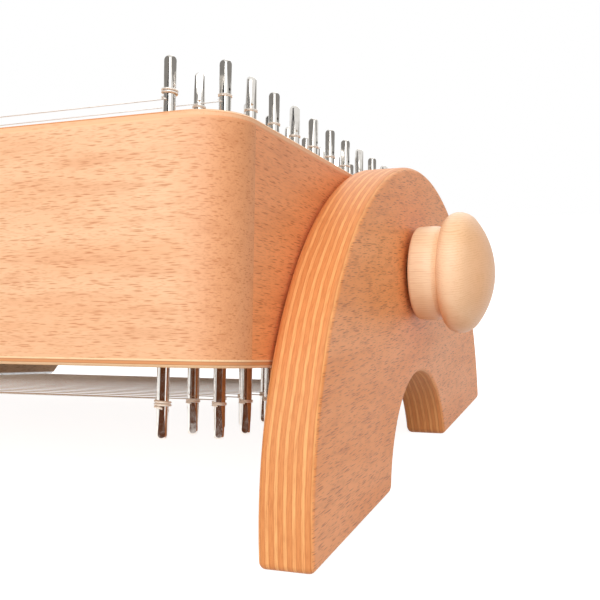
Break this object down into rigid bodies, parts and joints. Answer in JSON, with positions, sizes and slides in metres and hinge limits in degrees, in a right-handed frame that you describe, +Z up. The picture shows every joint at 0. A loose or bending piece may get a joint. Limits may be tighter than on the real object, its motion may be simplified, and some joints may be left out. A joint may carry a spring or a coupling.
{
  "type": "two-sided monochord",
  "caption": "Long box zither strung above and below, held by knobs between two half-round feet so that the box turns over; staggered tuning pins at one end.",
  "frame": {"origin": "middle of the footprint, on the table under the soundbox", "axes": "+X along the strings to the end with the tuning pins, +Z up, +Y away from the long side that the picture shows"},
  "size_m": [1.3248, 0.3306, 0.194],
  "materials": {
    "beech": "oiled steamed beech, satin",
    "foot_plywood": "oiled beech multiplex, rounded and sanded edges",
    "knob_maple": "turned pale hardwood, satin",
    "soundboard_ply": "thin three-ply board, satin",
    "maple_bridge": "sanded hardwood",
    "spruce": "raw softwood",
    "nickel": "polished nickel plate",
    "zinc_steel": "zinc plated",
    "brass": "turned",
    "cork_rubber": "matt cork and rubber",
    "plain_wire": "drawn music wire",
    "bronze_wire": "bronze music wire"
  },
  "bodies": {
    "head_foot": {"head_foot": "foot_plywood"},
    "soundbox": {"back_side": "beech", "bottom_bridge_rods": "zinc_steel", "bottom_head_bridge": "maple_bridge", "bottom_hitch_pins": "nickel", "bottom_soundboard": "soundboard_ply", "bottom_strings": "bronze_wire", "bottom_tail_bridge": "maple_bridge", "bottom_tuning_pins_inner": "nickel", "bottom_tuning_pins_outer": "nickel", "cross_braces": "spruce", "front_side": "beech", "head_friction_disc": "cork_rubber", "head_stud": "zinc_steel", "head_stud_socket": "brass", "hitch_block": "beech", "pin_block": "beech", "tail_friction_disc": "cork_rubber", "tail_stud": "zinc_steel", "tail_stud_socket": "brass", "top_bridge_rods": "zinc_steel", "top_head_bridge": "maple_bridge", "top_hitch_pins": "nickel", "top_soundboard": "soundboard_ply", "top_strings": "plain_wire", "top_tail_bridge": "maple_bridge"},
    "tail_foot": {"tail_foot": "foot_plywood"},
    "head_washer": {"head_washer": "zinc_steel"},
    "head_knob": {"head_knob": "knob_maple", "head_knob_bush": "brass"},
    "tail_washer": {"tail_washer": "zinc_steel"},
    "tail_knob": {"tail_knob": "knob_maple", "tail_knob_bush": "brass"},
    "top_tuning_pin_01": {"top_tuning_pin_01": "nickel"},
    "top_tuning_pin_02": {"top_tuning_pin_02": "nickel"},
    "top_tuning_pin_03": {"top_tuning_pin_03": "nickel"},
    "top_tuning_pin_04": {"top_tuning_pin_04": "nickel"},
    "top_tuning_pin_05": {"top_tuning_pin_05": "nickel"},
    "top_tuning_pin_06": {"top_tuning_pin_06": "nickel"},
    "top_tuning_pin_07": {"top_tuning_pin_07": "nickel"},
    "top_tuning_pin_08": {"top_tuning_pin_08": "nickel"},
    "top_tuning_pin_09": {"top_tuning_pin_09": "nickel"},
    "top_tuning_pin_10": {"top_tuning_pin_10": "nickel"},
    "top_tuning_pin_11": {"top_tuning_pin_11": "nickel"},
    "top_tuning_pin_12": {"top_tuning_pin_12": "nickel"},
    "top_tuning_pin_13": {"top_tuning_pin_13": "nickel"},
    "top_tuning_pin_14": {"top_tuning_pin_14": "nickel"},
    "top_tuning_pin_15": {"top_tuning_pin_15": "nickel"},
    "top_tuning_pin_16": {"top_tuning_pin_16": "nickel"},
    "top_tuning_pin_17": {"top_tuning_pin_17": "nickel"},
    "top_tuning_pin_18": {"top_tuning_pin_18": "nickel"},
    "top_tuning_pin_19": {"top_tuning_pin_19": "nickel"},
    "top_tuning_pin_20": {"top_tuning_pin_20": "nickel"},
    "top_tuning_pin_21": {"top_tuning_pin_21": "nickel"},
    "top_tuning_pin_22": {"top_tuning_pin_22": "nickel"}
  },
  "joints": [
    {"name": "soundbox_turn", "type": "hinge", "parent": "head_foot", "child": "soundbox", "pos_m": [0.6, 0, 0.0955], "axis": [1, 0, 0], "range_deg": [-180, 180]},
    {"name": "tail_foot_turn", "type": "hinge", "parent": "soundbox", "child": "tail_foot", "pos_m": [-0.6, 0, 0.0955], "axis": [1, 0, 0], "range_deg": [-181, 181]},
    {"name": "head_knob_travel", "type": "slide", "parent": "soundbox", "child": "head_washer", "axis": [1, 0, 0], "range_m": [0, 0.0026]},
    {"name": "head_knob_turn", "type": "hinge", "parent": "head_washer", "child": "head_knob", "pos_m": [0.6252, 0, 0.0955], "axis": [1, 0, 0], "range_deg": [0, 720]},
    {"name": "tail_knob_travel", "type": "slide", "parent": "soundbox", "child": "tail_washer", "axis": [-1, 0, 0], "range_m": [0, 0.0026]},
    {"name": "tail_knob_turn", "type": "hinge", "parent": "tail_washer", "child": "tail_knob", "pos_m": [-0.6252, 0, 0.0955], "axis": [-1, 0, 0], "range_deg": [0, 720]},
    {"name": "top_tuning_pin_01_turn", "type": "hinge", "parent": "soundbox", "child": "top_tuning_pin_01", "pos_m": [0.5565, -0.11915, 0.16231], "axis": [0, 0.1668, 0.986], "range_deg": [-90, 90]},
    {"name": "top_tuning_pin_02_turn", "type": "hinge", "parent": "soundbox", "child": "top_tuning_pin_02", "pos_m": [0.575, -0.10707, 0.16026], "axis": [0, 0.1668, 0.986], "range_deg": [-90, 90]},
    {"name": "top_tuning_pin_03_turn", "type": "hinge", "parent": "soundbox", "child": "top_tuning_pin_03", "pos_m": [0.5565, -0.09499, 0.15822], "axis": [0, 0.1668, 0.986], "range_deg": [-90, 90]},
    {"name": "top_tuning_pin_04_turn", "type": "hinge", "parent": "soundbox", "child": "top_tuning_pin_04", "pos_m": [0.575, -0.08292, 0.15618], "axis": [0, 0.1668, 0.986], "range_deg": [-90, 90]},
    {"name": "top_tuning_pin_05_turn", "type": "hinge", "parent": "soundbox", "child": "top_tuning_pin_05", "pos_m": [0.5565, -0.07084, 0.15413], "axis": [0, 0.1668, 0.986], "range_deg": [-90, 90]},
    {"name": "top_tuning_pin_06_turn", "type": "hinge", "parent": "soundbox", "child": "top_tuning_pin_06", "pos_m": [0.575, -0.05876, 0.15209], "axis": [0, 0.1668, 0.986], "range_deg": [-90, 90]},
    {"name": "top_tuning_pin_07_turn", "type": "hinge", "parent": "soundbox", "child": "top_tuning_pin_07", "pos_m": [0.5565, -0.04668, 0.15005], "axis": [0, 0.1668, 0.986], "range_deg": [-90, 90]},
    {"name": "top_tuning_pin_08_turn", "type": "hinge", "parent": "soundbox", "child": "top_tuning_pin_08", "pos_m": [0.575, -0.0346, 0.14801], "axis": [0, 0.1668, 0.986], "range_deg": [-90, 90]},
    {"name": "top_tuning_pin_09_turn", "type": "hinge", "parent": "soundbox", "child": "top_tuning_pin_09", "pos_m": [0.5565, -0.02252, 0.14596], "axis": [0, 0.1668, 0.986], "range_deg": [-90, 90]},
    {"name": "top_tuning_pin_10_turn", "type": "hinge", "parent": "soundbox", "child": "top_tuning_pin_10", "pos_m": [0.575, -0.01045, 0.14392], "axis": [0, 0.1668, 0.986], "range_deg": [-90, 90]},
    {"name": "top_tuning_pin_11_turn", "type": "hinge", "parent": "soundbox", "child": "top_tuning_pin_11", "pos_m": [0.5565, 0.00163, 0.14188], "axis": [0, 0.1668, 0.986], "range_deg": [-90, 90]},
    {"name": "top_tuning_pin_12_turn", "type": "hinge", "parent": "soundbox", "child": "top_tuning_pin_12", "pos_m": [0.575, 0.01371, 0.13983], "axis": [0, 0.1668, 0.986], "range_deg": [-90, 90]},
    {"name": "top_tuning_pin_13_turn", "type": "hinge", "parent": "soundbox", "child": "top_tuning_pin_13", "pos_m": [0.5565, 0.02579, 0.13779], "axis": [0, 0.1668, 0.986], "range_deg": [-90, 90]},
    {"name": "top_tuning_pin_14_turn", "type": "hinge", "parent": "soundbox", "child": "top_tuning_pin_14", "pos_m": [0.575, 0.03787, 0.13575], "axis": [0, 0.1668, 0.986], "range_deg": [-90, 90]},
    {"name": "top_tuning_pin_15_turn", "type": "hinge", "parent": "soundbox", "child": "top_tuning_pin_15", "pos_m": [0.5565, 0.04995, 0.13371], "axis": [0, 0.1668, 0.986], "range_deg": [-90, 90]},
    {"name": "top_tuning_pin_16_turn", "type": "hinge", "parent": "soundbox", "child": "top_tuning_pin_16", "pos_m": [0.575, 0.06202, 0.13166], "axis": [0, 0.1668, 0.986], "range_deg": [-90, 90]},
    {"name": "top_tuning_pin_17_turn", "type": "hinge", "parent": "soundbox", "child": "top_tuning_pin_17", "pos_m": [0.5565, 0.0741, 0.12962], "axis": [0, 0.1668, 0.986], "range_deg": [-90, 90]},
    {"name": "top_tuning_pin_18_turn", "type": "hinge", "parent": "soundbox", "child": "top_tuning_pin_18", "pos_m": [0.575, 0.08618, 0.12758], "axis": [0, 0.1668, 0.986], "range_deg": [-90, 90]},
    {"name": "top_tuning_pin_19_turn", "type": "hinge", "parent": "soundbox", "child": "top_tuning_pin_19", "pos_m": [0.5565, 0.09826, 0.12553], "axis": [0, 0.1668, 0.986], "range_deg": [-90, 90]},
    {"name": "top_tuning_pin_20_turn", "type": "hinge", "parent": "soundbox", "child": "top_tuning_pin_20", "pos_m": [0.575, 0.11034, 0.12349], "axis": [0, 0.1668, 0.986], "range_deg": [-90, 90]},
    {"name": "top_tuning_pin_21_turn", "type": "hinge", "parent": "soundbox", "child": "top_tuning_pin_21", "pos_m": [0.5565, 0.12242, 0.12145], "axis": [0, 0.1668, 0.986], "range_deg": [-90, 90]},
    {"name": "top_tuning_pin_22_turn", "type": "hinge", "parent": "soundbox", "child": "top_tuning_pin_22", "pos_m": [0.575, 0.1345, 0.1194], "axis": [0, 0.1668, 0.986], "range_deg": [-90, 90]}
  ],
  "couplings": [
    {"joint": "tail_foot_turn", "follows": "soundbox_turn", "ratio": -1},
    {"joint": "head_knob_travel", "follows": "head_knob_turn", "m_per_rad": 0.00019894},
    {"joint": "tail_knob_travel", "follows": "tail_knob_turn", "m_per_rad": 0.00019894}
  ]
}
